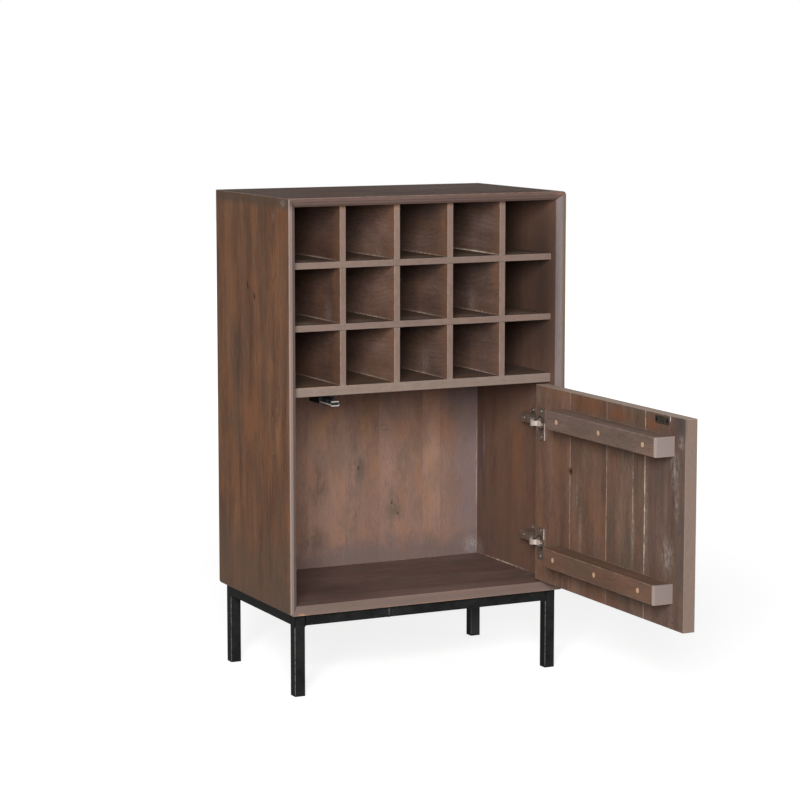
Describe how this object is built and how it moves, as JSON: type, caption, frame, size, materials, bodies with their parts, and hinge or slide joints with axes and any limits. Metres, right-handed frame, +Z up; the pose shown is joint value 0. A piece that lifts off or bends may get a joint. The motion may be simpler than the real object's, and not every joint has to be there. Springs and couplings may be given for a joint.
{
  "type": "wine cabinet",
  "caption": "Upright wooden wine cabinet: an open bottle rack over a compartment with one hinged plank door, on a square steel tube base.",
  "frame": {"origin": "on the floor, under the centre of the whole outline with the door standing open as stored", "axes": "+Z up, +X to the right as seen from the front, -Y out of the front; the cabinet's front plane is at y = 0.084 m and its back at y = 0.444 m"},
  "size_m": [0.6, 0.8888, 0.963],
  "materials": {
    "side_wood": "satin stain",
    "top_wood": "satin stain",
    "rack_wood": "satin stain",
    "back_wood": "satin stain",
    "door_wood": "satin stain",
    "batten_wood": "satin stain",
    "plug_wood": "oiled",
    "black_steel": "satin powder coat",
    "black_plastic": "matte",
    "nickel": "nickel plated",
    "dark_steel": "satin"
  },
  "bodies": {
    "cabinet": {"back_panel": "back_wood", "bottom_panel": "rack_wood", "catch_housing": "black_plastic", "foot_back_left": "black_plastic", "foot_back_right": "black_plastic", "foot_front_left": "black_plastic", "foot_front_right": "black_plastic", "left_side_panel": "side_wood", "leg_back_left": "black_steel", "leg_back_right": "black_steel", "leg_front_left": "black_steel", "leg_front_right": "black_steel", "lower_hinge_arm": "nickel", "lower_hinge_plate": "nickel", "lower_hinge_plate_screw_1": "nickel", "lower_hinge_plate_screw_2": "nickel", "rack_divider_1": "rack_wood", "rack_divider_2": "rack_wood", "rack_divider_3": "rack_wood", "rack_divider_4": "rack_wood", "rack_floor": "rack_wood", "rack_shelf_1": "rack_wood", "rack_shelf_2": "rack_wood", "rail_back": "black_steel", "rail_front": "black_steel", "rail_left": "black_steel", "rail_right": "black_steel", "right_side_panel": "side_wood", "top_panel": "top_wood", "upper_hinge_arm": "nickel", "upper_hinge_plate": "nickel", "upper_hinge_plate_screw_1": "nickel", "upper_hinge_plate_screw_2": "nickel"},
    "door": {"door_plank_1": "door_wood", "door_plank_2": "door_wood", "door_plank_3": "door_wood", "door_plank_4": "door_wood", "lower_batten": "batten_wood", "lower_batten_plug_1": "plug_wood", "lower_batten_plug_2": "plug_wood", "lower_batten_plug_3": "plug_wood", "lower_hinge_cup": "nickel", "lower_hinge_cup_screw_1": "nickel", "lower_hinge_cup_screw_2": "nickel", "strike_plate": "dark_steel", "upper_batten": "batten_wood", "upper_batten_plug_1": "plug_wood", "upper_batten_plug_2": "plug_wood", "upper_batten_plug_3": "plug_wood", "upper_hinge_cup": "nickel", "upper_hinge_cup_screw_1": "nickel", "upper_hinge_cup_screw_2": "nickel"},
    "upper_link": {"upper_hinge_link": "nickel"},
    "lower_link": {"lower_hinge_link": "nickel"},
    "plunger": {"catch_plunger": "black_plastic", "catch_pole_piece": "nickel"}
  },
  "joints": [
    {"name": "door_swing", "type": "hinge", "parent": "cabinet", "child": "door", "pos_m": [0.2678, 0.10285, 0.37925], "axis": [0, 0, 1], "range_deg": [-90, 10]},
    {"name": "upper_link_swing", "type": "hinge", "parent": "cabinet", "child": "upper_link", "pos_m": [0.2472, 0.12045, 0.5], "axis": [0, 0, 1], "range_deg": [-7, 60]},
    {"name": "lower_link_swing", "type": "hinge", "parent": "cabinet", "child": "lower_link", "pos_m": [0.2472, 0.12045, 0.2585], "axis": [0, 0, 1], "range_deg": [-7, 60]},
    {"name": "plunger_slide", "type": "slide", "parent": "cabinet", "child": "plunger", "axis": [0, -1, 0], "range_m": [-0.012, 0], "stiffness_N_per_m": 200}
  ],
  "couplings": [
    {"joint": "upper_link_swing", "follows": "door_swing", "ratio": -0.663},
    {"joint": "lower_link_swing", "follows": "door_swing", "ratio": -0.663}
  ]
}
